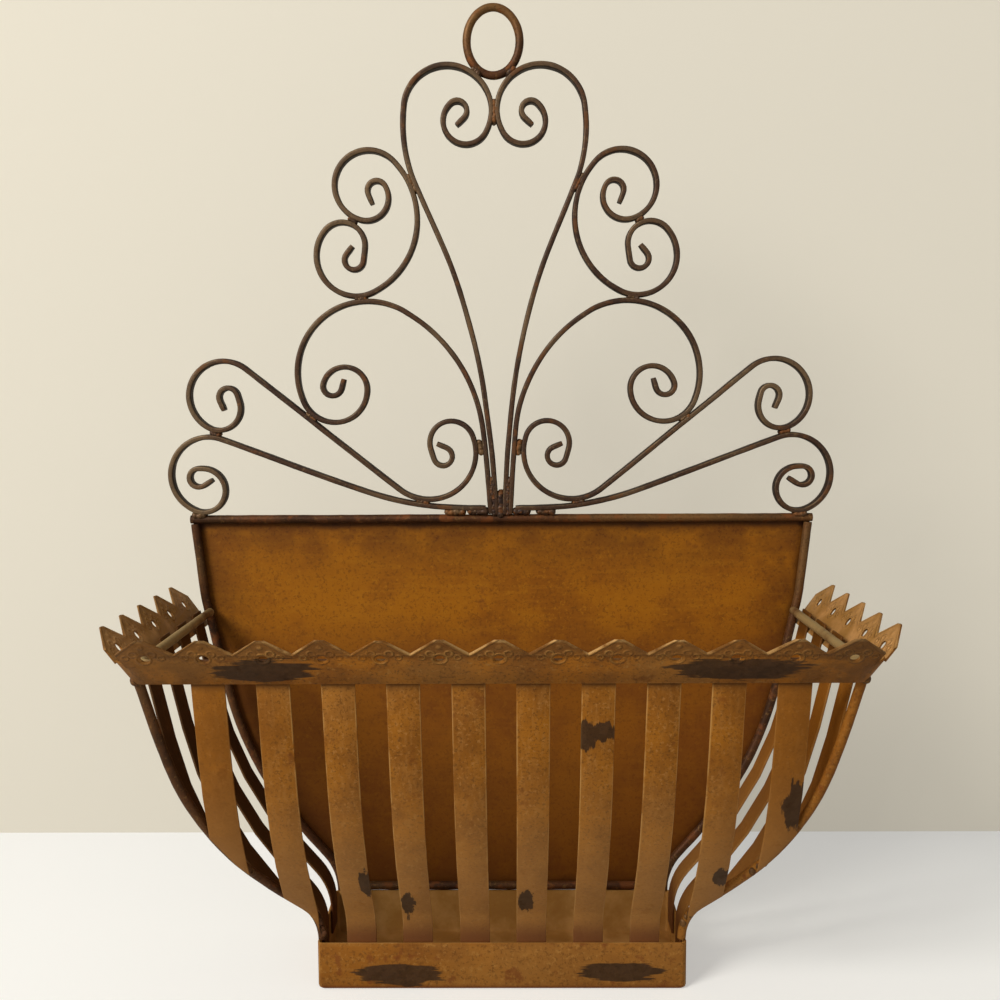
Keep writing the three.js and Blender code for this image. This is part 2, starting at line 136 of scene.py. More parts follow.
def madePlain(piece):
    # swaps the piece's mesh for the result of its modifiers
    bpy.context.view_layer.update()
    evaluated = piece.evaluated_get(bpy.context.evaluated_depsgraph_get())
    mesh = bpy.data.meshes.new_from_object(
        evaluated, preserve_all_data_layers=True,
        depsgraph=bpy.context.evaluated_depsgraph_get())
    piece.modifiers.clear()
    piece.data = mesh
    return piece


def settle(piece, slot, *replaced):
    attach(piece, "root")
    if replaced:
        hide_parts(*replaced)


# Helpers for materials.

def mixColour(tree, factor, a, b):
    return addNode(tree, "ShaderNodeMix", {0: factor, 6: a, 7: b}, data_type="RGBA").outputs[2]


def maths(tree, operation, a, b=0.5, c=0.0):
    return addNode(tree, "ShaderNodeMath", {0: a, 1: b, 2: c}, operation=operation).outputs[0]


def vectorMaths(tree, operation, a, b=(0, 0, 0)):
    return addNode(tree, "ShaderNodeVectorMath", {0: a, 1: b}, operation=operation).outputs[0]


def scaled(tree, vector, by):
    return addNode(tree, "ShaderNodeVectorMath", {0: vector, "Scale": by},
                   operation="SCALE").outputs[0]


def separate(tree, vector):
    return addNode(tree, "ShaderNodeSeparateXYZ", {0: vector}).outputs


def ramp(tree, value, low, high):
    # 0 below low, 1 above high, smooth between
    return addNode(tree, "ShaderNodeMapRange",
                   {"Value": value, "From Min": low, "From Max": high},
                   interpolation_type="SMOOTHSTEP").outputs["Result"]


def faded(tree, value, low, high):
    # 1 below low, 0 above high
    return maths(tree, "SUBTRACT", 1.0, ramp(tree, value, low, high))


def between(tree, value, start, end):
    # 0 at start and 1 at end, whichever of the two is the larger
    if start < end:
        return ramp(tree, value, start, end)
    return faded(tree, value, end, start)


def combined(tree, operation, values):
    result = values[0]
    for value in values[1:]:
        result = maths(tree, operation, result, value)
    return result


def times(tree, *values):
    return combined(tree, "MULTIPLY", values)


def largest(tree, *values):
    return combined(tree, "MAXIMUM", values)


def noiseAt(tree, vector, sizeMm, detail=3.0, rough=0.55):
    # sizeMm is the width of the noise's main blobs
    return addNode(tree, "ShaderNodeTexNoise",
                   {"Vector": vector, "Scale": 1000 / sizeMm / 2, "Detail": detail,
                    "Roughness": rough}).outputs["Fac"]


def stretched(tree, vector, scale):
    return addNode(tree, "ShaderNodeMapping", {"Vector": vector, "Scale": scale}).outputs["Vector"]


def attribute(tree, name, output="Fac"):
    return addNode(tree, "ShaderNodeAttribute", attribute_name=name).outputs[output]


def laid(tree, look, colour, key, *masks):
    # one of the look's colours over another, as far as all the masks let it
    return mixColour(tree, times(tree, *masks), colour, linear(look[key]))


# brown paint dabbed on later: how far the brush's streaks push a patch's edge, how far from its
# middle (1 is the stated half size) it is whole and where it ends, how it covers, and its tints
patchCoat = {"raggedBy": 1.5, "wholeTo": 1.62, "goneAt": 1.78, "cover": 0.88,
             "dark": "#2b1d10", "light": "#382719"}


def patchMask(tree, place, look):
    # 1 inside any of the look's ellipses, with a ragged brushed edge
    streak = noiseAt(tree, stretched(tree, place, look["patchStreak"]), 1.5, 3.0, 0.65)
    masks = []
    for centre, half in look["patches"]:
        moved = vectorMaths(tree, "SUBTRACT", place, [c * mm for c in centre])
        sized = vectorMaths(tree, "DIVIDE", moved, [h * mm for h in half])
        far = addNode(tree, "ShaderNodeVectorMath", {0: sized}, operation="LENGTH").outputs["Value"]
        ragged = maths(tree, "ADD", far, times(tree, streak, patchCoat["raggedBy"]))
        masks.append(faded(tree, ragged, patchCoat["wholeTo"], patchCoat["goneAt"]))
    return largest(tree, *masks)


def ridge(tree, distance, at, width):
    # 1 where a distance equals the given one, falling to 0 over the width
    off = maths(tree, "ABSOLUTE", maths(tree, "SUBTRACT", distance, at), 0)
    return faded(tree, off, 0.0, width)


def distanceFrom(tree, x, y, centreX, centreY):
    acrossX = maths(tree, "SUBTRACT", x, centreX)
    acrossY = maths(tree, "SUBTRACT", y, centreY)
    return maths(tree, "SQRT", maths(tree, "MULTIPLY_ADD", acrossX, acrossX,
                                     maths(tree, "MULTIPLY", acrossY, acrossY)), 0)


def embossing(tree, look):
    # the pressed pattern of every tooth; gives its height, the worn edge and the teeth
    strip = separate(tree, attribute(tree, "strip", "Vector"))
    pitch = look["pitch"]
    phase = maths(tree, "SUBTRACT", maths(tree, "FRACT", strip[0], 0), 0.5)
    x = maths(tree, "ABSOLUTE", times(tree, phase, pitch), 0)
    y = maths(tree, "SUBTRACT", times(tree, strip[1], 1 / mm), look["pierceUp"])
    rings = [ridge(tree, distanceFrom(tree, x, y, across, up), radius, width)
             for across, up, radius, width in look["rings"]]
    across, up, wholeTo, goneAt = look["knob"]
    knob = faded(tree, distanceFrom(tree, x, y, across, up), wholeTo, goneAt)
    rise, run = look["tipUp"], pitch / 2 - look["tipHalf"]
    slope = math.hypot(rise, run)
    fromTip = maths(tree, "SUBTRACT", pitch / 2, x)
    underTip = maths(tree, "SUBTRACT", look["valleyUp"], y)
    inside = maths(tree, "MULTIPLY_ADD", fromTip, rise / slope, times(tree, underTip, run / slope))
    onTooth = ramp(tree, y, *look["toothFrom"])
    rolled = times(tree, ridge(tree, inside, *look["rolled"]), onTooth)
    height = largest(tree, *rings, knob, rolled)
    worn = largest(tree, faded(tree, inside, *look["wornSide"]), ramp(tree, y, *look["wornTip"]))
    return height, times(tree, worn, onTooth), onTooth


# how far the noise rises from where a mask begins to where it is whole
softness = {"rust": 0.09, "edge": 0.18}


def sectionWear(tree, look, place):
    # how worn the surface is, from how near it lies to an edge of the piece's own section
    split = separate(tree, attribute(tree, "section", "Vector"))
    half = look["section"]
    fromX = maths(tree, "SUBTRACT", half[0] * mm, maths(tree, "ABSOLUTE", split[0], 0))
    fromY = maths(tree, "SUBTRACT", half[1] * mm, maths(tree, "ABSOLUTE", split[1], 0))
    inwards = maths(tree, "DIVIDE", largest(tree, fromX, fromY), look["edgeMm"] * mm)
    patchy = noiseAt(tree, place, 9.0, 4.0, 0.6)
    return times(tree, faded(tree, inwards, 0.2, 1.0),
                 ramp(tree, patchy, look["edgeFrom"], look["edgeFrom"] + softness["edge"]))


def baseCoat(tree, look, place, cloud, grain):
    # mottled paint, lighter in broad patches and brushed lines, with dark grain and light specks
    mottle = ramp(tree, cloud, 0.36, 0.64)
    colour = laid(tree, look, linear(look["paint"]), "shade", mottle)
    broad = ramp(tree, noiseAt(tree, place, look["cloudMm"] * 4, 2.0, 0.5), 0.42, 0.66)
    colour = laid(tree, look, colour, "rub", broad, look.get("broadBy", 0.35))
    if look.get("brushed"):
        lines = noiseAt(tree, stretched(tree, place, look["brushed"]), 1.4, 3.0, 0.6)
        colour = laid(tree, look, colour, "rub", ramp(tree, lines, 0.45, 0.75), look["brushedBy"])
    colour = laid(tree, look, colour, "dark", ramp(tree, grain, 0.5, 0.7), look["grainBy"])
    speck = faded(tree, noiseAt(tree, place, look["grainMm"] * 1.7, 3.0, 0.7), 0.3, 0.45)
    return laid(tree, look, colour, "rub", speck, look["grainBy"])


def borderShade(tree, look, cloud):
    # painted shade along the sheet's edges, where the rods and rail shadow it: a dark line, and a
    # weaker shade inside it, both of ragged width
    width = look["fromEdgeMm"] * mm
    ragged = maths(tree, "MULTIPLY_ADD", cloud, 2.2, -0.1)
    inwards = times(tree, attribute(tree, "fromEdge"), ragged)
    narrow = faded(tree, inwards, 1 * mm, width)
    wide = times(tree, faded(tree, inwards, 0.0, width * 4), ramp(tree, cloud, 0.2, 0.6))
    return largest(tree, times(tree, narrow, look["narrowBy"]), times(tree, wide, look["wideBy"]))


def agedMetal(name, look):
    # paint over steel with mottling, fine grain, rust, worn edges and touched-up patches
    material = bpy.data.materials.new(name)
    material.use_nodes = True
    tree = material.node_tree
    shader = tree.nodes["Principled BSDF"]
    place = addNode(tree, "ShaderNodeTexCoord").outputs["Object"]
    cloud = noiseAt(tree, place, look["cloudMm"], 4.0, 0.6)
    grain = noiseAt(tree, place, look["grainMm"], 2.0, 0.7)
    colour = baseCoat(tree, look, place, cloud, grain)
    fleck = noiseAt(tree, place, look["rustMm"], 5.0, 0.62)
    rust = ramp(tree, fleck, look["rustFrom"], look["rustFrom"] + softness["rust"])
    colour = laid(tree, look, colour, "rust", rust, look["rustBy"])
    height = maths(tree, "MULTIPLY_ADD", fleck, 0.6, times(tree, grain, 0.4))
    if look.get("section"):
        colour = laid(tree, look, colour, "edge", sectionWear(tree, look, place), look["edgeBy"])
    if look.get("sideFromMm"):
        # painted shade on the bar's two sides, darker as a rounded bar's sides turn from the light
        split = separate(tree, attribute(tree, "section", "Vector"))
        offMiddle = maths(tree, "ABSOLUTE", split[1], 0)
        side = ramp(tree, offMiddle, look["sideFromMm"] * mm, look["sideToMm"] * mm)
        colour = laid(tree, look, colour, "dark", side, look["sideShadeBy"])
    if look.get("pitch"):
        pressed, edge, onTooth = embossing(tree, look)
        patchy = ramp(tree, noiseAt(tree, place, 7.0, 4.0, 0.6), 0.42, 0.6)
        uneven = times(tree, pressed, maths(tree, "MULTIPLY_ADD", patchy, 0.6, 0.4))
        height = maths(tree, "MULTIPLY_ADD", uneven, look["embossBy"], height)
        colour = laid(tree, look, colour, "tooth", onTooth, look["toothBy"])
        # the raised pattern is lighter: rubbed paint, and painted highlight along its ridges
        colour = laid(tree, look, colour, "rub", pressed, patchy, look["pressedBy"])
        colour = laid(tree, look, colour, "edge", edge, patchy, look["wornBy"])
    if look.get("fromEdgeMm"):
        # painted shade along the sheet's edges, from the rods and rail
        colour = laid(tree, look, colour, "edgeShadow", borderShade(tree, look, cloud))
    spot = separate(tree, place)
    for start, end, key, amount in look.get("aside", []):
        # a change of colour towards the object's two sides
        beside = ramp(tree, maths(tree, "ABSOLUTE", spot[0], 0), start * mm, end * mm)
        colour = laid(tree, look, colour, key, beside, ramp(tree, cloud, 0.25, 0.5), amount)
    for start, end, key, amount in look.get("levels", []):
        # a change of colour with height
        colour = laid(tree, look, colour, key, between(tree, spot[2], start * mm, end * mm), amount)
    if look.get("inner"):
        # the faces inside get a paler coat: painted light on the gallery's inside, and on the
        # tray's a pale dull coat, lightened further as painted light
        coat = laid(tree, look, linear(look["inner"]), "rub", ramp(tree, cloud, 0.3, 0.6))
        inner = times(tree, attribute(tree, "inner"), look["innerBy"])
        colour = mixColour(tree, inner, colour, coat)
    if look.get("patches"):
        tint = mixColour(tree, ramp(tree, noiseAt(tree, place, 2.0), 0.4, 0.6),
                         linear(patchCoat["dark"]), linear(patchCoat["light"]))
        mask = times(tree, patchMask(tree, place, look), patchCoat["cover"])
        colour = mixColour(tree, mask, colour, tint)
    rough = maths(tree, "MULTIPLY_ADD", cloud, 0.3, look["roughness"] - 0.15)
    rough = maths(tree, "MULTIPLY_ADD", rust, 0.2, rough)
    tree.links.new(colour, shader.inputs["Base Color"])
    tree.links.new(rough, shader.inputs["Roughness"])
    shader.inputs["Metallic"].default_value = look["metallic"]
    shader.inputs["Specular IOR Level"].default_value = look.get("specular", 0.3)
    bump = addNode(tree, "ShaderNodeBump",
                   {"Strength": look["bump"], "Distance": 0.35 * mm, "Height": height})
    tree.links.new(bump.outputs["Normal"], shader.inputs["Normal"])
    return material


# In a look, sizes are in mm and "By" is an amount. Each row of levels or aside gives where a change
# of colour starts, where it is whole, the colour and the amount; a patch, its middle and half size.

# mild steel strip under rubbed gold-bronze paint: warm, satin, lighter along the edges, with
# rubbed lines up and down it; paler low down, purple-brown at the feet, and painted shade behind
# the rim
slatLook = {
    "paint": "#995f14", "shade": "#804d11", "dark": "#55320c", "rub": "#a87538", "rust": "#6b3513",
    "edge": "#c39757", "lower": "#aa7c45", "foot": "#5e3319",
    "section": (8.25, 0.6), "edgeMm": 0.8, "edgeFrom": 0.38, "edgeBy": 0.5,
    "cloudMm": 14, "grainMm": 0.7, "grainBy": 0.65, "rustMm": 6, "rustFrom": 0.6, "rustBy": 0.45,
    "brushed": (1.0, 1.0, 0.05), "brushedBy": 0.35,
    "roughness": 0.56, "metallic": 0.3, "bump": 0.35, "specular": 0.2,
    # the last level is painted shade on the tops, where they stand behind the rim and gallery
    "levels": [(165.0, 60.0, "lower", 0.5), (46.0, 29.0, "foot", 0.85),
               (188.0, 194.0, "dark", 0.85)],
    "aside": [(100.0, 130.0, "shade", 0.7)],
    "patches": [
        ((43.0, -96.6, 165.2), (4.4, 12.0, 8.5)), ((50.0, -96.6, 167.5), (8.0, 12.0, 5.6)),
        ((-72.4, -57.9, 71.8), (3.6, 14.0, 13.0)), ((-51.1, -45.8, 55.1), (3.8, 14.0, 13.0)),
        ((13.2, -47.2, 57.3), (4.6, 13.0, 11.0)), ((117.8, -62.7, 76.3), (6.0, 10.0, 8.4)),
        ((149.0, -86.3, 124.8), (6.8, 12.0, 17.0)),
    ],
    "patchStreak": (1.0, 0.6, 0.1),
}

# the left side's strips: the same gold paint made darker and browner, as painted shade for the
# shadow they stand in
shadedLeftSlatLook = dict(slatLook, paint="#56351a", shade="#3f2713", rub="#75502a", lower="#68451f",
                    edge="#8f6a3c", patches=None)

# cold-rolled sheet under mottled bronze paint, laid on in level strokes, with painted shade round
# its edges and painted shadow low down in the bowl
panelLook = {
    "paint": "#9e600a", "shade": "#864d08", "dark": "#5c3306", "rub": "#a86c12", "rust": "#5d2a10",
    "cloudMm": 14, "grainMm": 0.7, "grainBy": 0.55, "rustMm": 9, "rustFrom": 0.64, "rustBy": 0.4,
    "brushed": (0.08, 1.0, 1.0), "brushedBy": 0.35,
    "roughness": 0.56, "metallic": 0.25, "bump": 0.3,
    # the dark edge colour and its widths give painted shade from the rods and rail
    "specular": 0.2, "edgeShadow": "#35190a", "fromEdgeMm": 11.0, "narrowBy": 0.92, "wideBy": 0.55,
    # the lower colour is painted shadow, cast inside the bowl by the gallery and slats
    "lower": "#643510", "levels": [(206.0, 168.0, "lower", 0.5), (135.0, 45.0, "lower", 0.2)],
}

# embossed strip, its teeth greyed and pitted by the weather, dull, bright where they are rubbed;
# each tooth has rings (across, up, radius and width of ridge from the hole) round the hole and as
# petals and leaves beside it, a knob under its tip (across, up, whole to, gone at), a rolled edge
galleryLook = {
    "paint": "#9f6216", "shade": "#7f4d18", "dark": "#4d3013", "rub": "#a3763a", "rust": "#6a3a18",
    "edge": "#c79d62", "tooth": "#67441f", "toothBy": 0.55, "pressedBy": 0.6, "wornBy": 0.7,
    # the paler inside colour is painted light on the faces that look up over the bowl's mouth
    "inner": "#c9985f", "innerBy": 0.75, "specular": 0.2, "aside": [(100.0, 165.0, "tooth", 0.6)],
    "cloudMm": 11, "grainMm": 0.8, "grainBy": 0.6, "rustMm": 5, "rustFrom": 0.58, "rustBy": 0.5,
    "roughness": 0.6, "metallic": 0.3, "bump": 0.75, "embossBy": 3.0,
    "pitch": 28.4, "pierceUp": 18.3, "valleyUp": 3.0, "tipUp": 10.4, "tipHalf": 2.2,
    "rings": [(0.0, 0.0, 3.5, 1.1), (4.4, 3.6, 1.9, 1.1), (8.6, 1.0, 1.5, 1.0)],
    "knob": (0.0, 8.2, 0.6, 2.0), "rolled": (0.9, 1.1), "toothFrom": (0.5, 3.0),
    "wornSide": (0.1, 0.9), "wornTip": (11.2, 12.2),
    "patches": [((-112.3, -110.5, 201.1), (24.0, 14.0, 7.4)),
                ((114.4, -110.8, 201.5), (34.0, 14.0, 6.8))],
    "patchStreak": (0.1, 1.0, 1.0),
}

# folded tray and the bowl's right corner rod: brown-orange paint, rusty along the lower edge, with
# the tray's inside in a pale dull coat, lightened further as painted light where it lies in shade
trayLook = {
    "paint": "#8f5919", "shade": "#7b4913", "dark": "#59340f", "rub": "#a57638", "rust": "#6e3816",
    # the inside colour is a pale dull coat, made paler as painted light
    "inner": "#c99a5a", "innerBy": 0.75, "specular": 0.2,
    "cloudMm": 16, "grainMm": 0.8, "grainBy": 0.6, "rustMm": 6, "rustFrom": 0.58, "rustBy": 0.6,
    "brushed": (0.1, 1.0, 1.0), "brushedBy": 0.2,
    "roughness": 0.58, "metallic": 0.3, "bump": 0.35,
    "levels": [(3.5, 1.0, "rust", 0.6)],
    "patches": [((-55.6, -34.5, 8.8), (24.0, 5.0, 6.2)), ((66.7, -34.5, 10.2), (24.0, 5.0, 5.8))],
    "patchStreak": (0.1, 1.0, 1.0),
}

# hot-rolled bar, dark brown, its front rubbed to a dull tan and rust, its sides darkened as painted
# shade
barLook = {
    "paint": "#4c3320", "shade": "#352217", "dark": "#1b110c", "rub": "#80694a", "rust": "#683f1c",
    "edge": "#947a54", "broadBy": 0.45,
    "cloudMm": 8, "grainMm": 0.7, "grainBy": 0.45, "rustMm": 7, "rustFrom": 0.56, "rustBy": 0.6,
    "roughness": 0.5, "metallic": 0.3, "bump": 0.6,
    "section": (3.5, 1.55), "edgeMm": 1.2, "edgeFrom": 0.46, "edgeBy": 0.45,
    "sideFromMm": 0.85, "sideToMm": 1.5, "sideShadeBy": 0.8,
}

# drawn rod, dark reddish brown
rodLook = dict(barLook, paint="#55331b", shade="#372112", rust="#7a4520", rub="#8a6538",
               section=None, sideFromMm=None, cloudMm=12, specular=0.18)

# the rim's rod kept a light olive-tan coat at the sides; along the front it has the dark rod colour
# as painted shade, so that the gallery's holes look dark
rimLook = dict(rodLook, coat="#a1885a", aside=[(165.0, 168.0, "coat", 0.85)])

# bead of weld metal, dark and scaly with rust on it
weldLook = dict(barLook, paint="#4a3220", shade="#30211a", rust="#7d4a1e", rub="#8a6a42",
                section=None, sideFromMm=None, cloudMm=4, rustMm=3.5, rustFrom=0.49, bump=0.8)

looks = {
    "goldSlatPaint": slatLook,
    "shadedLeftSlatPaint": shadedLeftSlatLook,
    "bronzePanelPaint": panelLook,
    "greyedGalleryPaint": galleryLook,
    "rustyTrayPaint": trayLook,
    "darkBarSteel": barLook,
    "darkRodSteel": rodLook,
    "rimPaintShadedFront": rimLook,
    "scaledWeldSteel": weldLook,
}
materials = {name: agedMetal(name, look) for name, look in looks.items()}
print("materials made")


# Reading the frame's own lines.

def cadMesh(name):
    # the node's mesh with its split vertices merged and its flat faces made whole again
    shape = bmesh.new()
    shape.from_mesh(nodes[name].data)
    shape.transform(nodes[name].matrix_world)
    bmesh.ops.remove_doubles(shape, verts=shape.verts, dist=1e-6)
    shape.normal_update()
    return shape


def nodeBox(name):
    corners = [nodes[name].matrix_world @ Vector(corner) for corner in nodes[name].bound_box]
    low = Vector([min(c[i] for c in corners) for i in range(3)])
    high = Vector([max(c[i] for c in corners) for i in range(3)])
    return low, high


def barLine(name):
    # middle line of a bent flat bar: the outline of its front face, paired off across the bar
    shape = cadMesh(name)
    front = {face for face in shape.faces if face.normal.y < -0.99}
    links = {}
    for face in front:
        for edge in face.edges:
            if sum(other in front for other in edge.link_faces) == 1:
                first, second = edge.verts
                links.setdefault(first, []).append(second)
                links.setdefault(second, []).append(first)
    loop = [next(iter(links))]
    loop.append(links[loop[0]][0])
    while len(loop) < len(links):
        onward = [v for v in links[loop[-1]] if v is not loop[-2]]
        loop.append(onward[0])
    points = [v.co.copy() for v in loop]
    total = len(points)

    def widest(k):
        return max((points[(k + i) % total] - points[(k - 1 - i) % total]).length
                   for i in range(total // 2))

    k = min(range(total), key=widest)
    low, high = nodeBox(name)
    line = []
    for i in range(total // 2):
        middle = (points[(k + i) % total] + points[(k - 1 - i) % total]) / 2
        middle.y = (low.y + high.y) / 2
        line.append(middle)
    shape.free()
    return line


def rodLine(name, towards):
    # middles of a round rod's stations, one ring of vertices after another from the end that
    # lies furthest in the given direction
    shape = cadMesh(name)
    towards = Vector(towards).normalized()
    end = max(v.co.dot(towards) for v in shape.verts)
    cap = [face for face in shape.faces if face.normal.dot(towards) > 0.8
           and face.calc_center_median().dot(towards) > end - 2 * mm]
    ring = {v for face in cap for v in face.verts}
    seen = set(ring)
    line = []
    while ring:
        line.append(sum((v.co for v in ring), Vector()) / len(ring))
        ring = {edge.other_vert(v) for v in ring for edge in v.link_edges} - seen
        seen |= ring
    shape.free()
    return line


def smoothLine(points, step):
    # a curve through the points, parallel at each to the line between its neighbours
    last = len(points) - 1
    along = [(points[min(i + 1, last)] - points[max(i - 1, 0)]).normalized()
             for i in range(last + 1)]
    line = [points[0]]
    for i in range(last):
        start, end = points[i], points[i + 1]
        third = (end - start).length / 3
        count = max(2, round(third * 3 / step) + 1)
        line += geometry.interpolate_bezier(
            start, start + along[i] * third, end - along[i + 1] * third, end, count)[1:]
    return line


# Geometry nodes: a bar swept along a line, and weld beads on points.

def newTree(name, sockets):
    # a geometry tree with named inputs; returns it with its input node and its output node
    tree = bpy.data.node_groups.new(name, "GeometryNodeTree")
    tree.interface.new_socket("Geometry", in_out="OUTPUT", socket_type="NodeSocketGeometry")
    tree.interface.new_socket("Geometry", in_out="INPUT", socket_type="NodeSocketGeometry")
    for label, kind in sockets.items():
        tree.interface.new_socket(label, in_out="INPUT", socket_type="NodeSocket" + kind)
    return tree, addNode(tree, "NodeGroupInput").outputs, addNode(tree, "NodeGroupOutput")


def finishTree(tree, mesh, material, last):
    whole = addNode(tree, "GeometryNodeRealizeInstances", {0: mesh}).outputs[0]
    smooth = addNode(tree, "GeometryNodeSetShadeSmooth", {0: whole}).outputs[0]
    painted = addNode(tree, "GeometryNodeSetMaterial", {"Geometry": smooth, "Material": material})
    tree.links.new(painted.outputs[0], last.inputs[0])


def makeSweptBar():
    tree, given, last = newTree("sweptBar", {
        "Step": "Float", "Across": "Float", "Deep": "Float", "Corner": "Float", "Side": "Vector",
        "Waver": "Float", "Taper": "Float", "Seed": "Float", "Material": "Material"})
    curve = addNode(tree, "GeometryNodeMeshToCurve", {0: given["Geometry"]}).outputs[0]
    even = addNode(tree, "GeometryNodeResampleCurve", {"Curve": curve, "Length": given["Step"]},
                   mode="LENGTH").outputs[0]
    place = addNode(tree, "GeometryNodeInputPosition").outputs[0]
    shifted = vectorMaths(tree, "ADD", place, given["Seed"])
    slow = addNode(tree, "ShaderNodeTexNoise", {"Vector": shifted, "Scale": 22.0, "Detail": 1.0})
    away = vectorMaths(tree, "SUBTRACT", slow.outputs["Color"], (0.5, 0.5, 0.5))
    wavering = addNode(tree, "GeometryNodeSetPosition",
                       {"Geometry": even, "Offset": scaled(tree, away, given["Waver"])}).outputs[0]
    facing = addNode(tree, "GeometryNodeSetCurveNormal",
                     {"Curve": wavering, "Normal": given["Side"]}, mode="FREE").outputs[0]
    run = addNode(tree, "GeometryNodeSplineParameter").outputs["Length"]
    whole = addNode(tree, "GeometryNodeCurveLength", {0: facing}).outputs[0]
    fromEnd = maths(tree, "MINIMUM", run, maths(tree, "SUBTRACT", whole, run))
    narrow = times(tree, faded(tree, fromEnd, -1 * mm, 3 * mm), given["Taper"])
    # beaten up to 7 % over or under the bar's size
    beaten = addNode(tree, "ShaderNodeTexNoise", {"Vector": shifted, "Scale": 140.0, "Detail": 1.0})
    uneven = maths(tree, "MULTIPLY_ADD", beaten.outputs["Fac"], 0.14, 0.93)
    scale = maths(tree, "SUBTRACT", uneven, narrow)
    oblong = addNode(tree, "GeometryNodeCurvePrimitiveQuadrilateral",
                     {"Width": given["Deep"], "Height": given["Across"]},
                     mode="RECTANGLE").outputs[0]
    rounded = addNode(tree, "GeometryNodeFilletCurve",
                      {"Curve": oblong, "Count": 4, "Radius": given["Corner"],
                       "Limit Radius": True}, mode="POLY").outputs[0]
    profile = addNode(tree, "GeometryNodeCaptureAttribute", {"Geometry": rounded})
    profile.capture_items.new("VECTOR", "Section")
    tree.links.new(place, profile.inputs["Section"])
    swept = addNode(tree, "GeometryNodeCurveToMesh",
                    {"Curve": facing, "Profile Curve": profile.outputs[0],
                     "Scale": scale, "Fill Caps": True}).outputs[0]
    marked = addNode(tree, "GeometryNodeStoreNamedAttribute",
                     {"Geometry": swept, "Name": "section", "Value": profile.outputs["Section"]},
                     data_type="FLOAT_VECTOR").outputs[0]
    finishTree(tree, marked, given["Material"], last)
    return tree


def makeWeldBeads():
    # a lumpy bead on every point, as large as the point's own size
    tree, given, last = newTree("weldBeads", {
        "Lump": "Float", "Grain": "Float", "Seed": "Int", "Material": "Material"})
    ball = addNode(tree, "GeometryNodeMeshIcoSphere", {"Radius": 1.0, "Subdivisions": 4}).outputs[0]
    size = addNode(tree, "GeometryNodeInputNamedAttribute", {"Name": "size"},
                   data_type="FLOAT_VECTOR").outputs[0]
    tilt = addNode(tree, "FunctionNodeRandomValue",
                   {0: (-0.3, -0.3, -0.3), 1: (0.3, 0.3, 0.3), "Seed": given["Seed"]},
                   data_type="FLOAT_VECTOR").outputs[0]
    beads = addNode(tree, "GeometryNodeInstanceOnPoints",
                    {"Points": given["Geometry"], "Instance": ball, "Rotation": tilt,
                     "Scale": size}).outputs[0]
    whole = addNode(tree, "GeometryNodeRealizeInstances", {0: beads}).outputs[0]
    place = addNode(tree, "GeometryNodeInputPosition").outputs[0]
    rough = addNode(tree, "ShaderNodeTexNoise",
                    {"Vector": place, "Scale": given["Grain"], "Detail": 2.0, "Roughness": 0.5})
    away = vectorMaths(tree, "SUBTRACT", rough.outputs["Color"], (0.5, 0.5, 0.5))
    lumpy = addNode(tree, "GeometryNodeSetPosition",
                    {"Geometry": whole, "Offset": scaled(tree, away, given["Lump"])}).outputs[0]
    finishTree(tree, lumpy, given["Material"], last)
    return tree


def grown(name, mesh, tree, values):
    # runs a tree on a mesh and keeps the result as a plain mesh
    piece = linkObject(name, mesh)
    modifier = piece.modifiers.new(tree.name, "NODES")
    modifier.node_group = tree
    for item in tree.interface.items_tree:
        if item.item_type == "SOCKET" and item.in_out == "INPUT" and item.name in values:
            modifier[item.identifier] = values[item.name]
    return madePlain(piece)


sweptBar = makeSweptBar()
weldBeads = makeWeldBeads()
print("trees made")


# Bars and rods.

barSeeds = []


def barPiece(name, points, values, finish, slot, closed=False):
    # one swept bar or rod in place of the node of the same name; sizes in mm
    mesh = bpy.data.meshes.new(name)
    edges = [(i, i + 1) for i in range(len(points) - 1)]
    if closed:
        edges.append((len(points) - 1, 0))
    mesh.from_pydata([tuple(point) for point in points], edges, [])
    barSeeds.append(name)
    settings = {key: values[key] * mm for key in ("Step", "Across", "Deep", "Corner", "Waver")}
    settings.update({"Side": values.get("Side", (0.0, 1.0, 0.0)), "Taper": values["Taper"],
                     "Seed": len(barSeeds) * 0.37, "Material": materials[finish]})
    piece = grown(name, mesh, sweptBar, settings)
    piece.data.set_sharp_from_angle(angle=math.radians(50))
    settle(piece, slot, name)


# bent flat bar, its corners rounded by rolling and hammering, its ends blunted
scrollBar = {"Step": 1.5, "Across": 3.1, "Deep": 7.0, "Corner": 1.05, "Waver": 0.6, "Taper": 0.16}
scrollParts = ["heart_scroll", "shoulder_scroll", "fan_scroll", "upper_wing", "lower_wing"]
lines = {}
for hand in hands:
    for part in scrollParts:
        name = f"{part}_{hand}"
        lines[name] = smoothLine(barLine(name), scrollBar["Step"] * mm)
        barPiece(name, lines[name], scrollBar, "darkBarSteel", "scroll_bar")
print("scrolls made")

# round rod; the rim's lies flat, so its section faces up
frameRod = {"Step": 2.5, "Across": 5.0, "Deep": 5.0, "Corner": 2.45, "Waver": 0.5, "Taper": 0.0}
rimRod = dict(frameRod, Side=(0.0, 0.0, 1.0), Step=1.5)
rodFinish = {"corner_rod_right": "rustyTrayPaint"}    # the only one that took the bowl's paint
for hand in hands:
    for part in ("side_rod", "corner_rod"):
        name = f"{part}_{hand}"
        lines[name] = smoothLine(rodLine(name, (0, 0, -1)), frameRod["Step"] * mm)
        barPiece(name, lines[name], frameRod, rodFinish.get(name, "darkRodSteel"), "dark_rod")
for name in ("top_rail", "bottom_rail"):
    lines[name] = smoothLine(rodLine(name, (-1, 0, 0)), frameRod["Step"] * mm)
    barPiece(name, lines[name], frameRod, "darkRodSteel", "dark_rod")
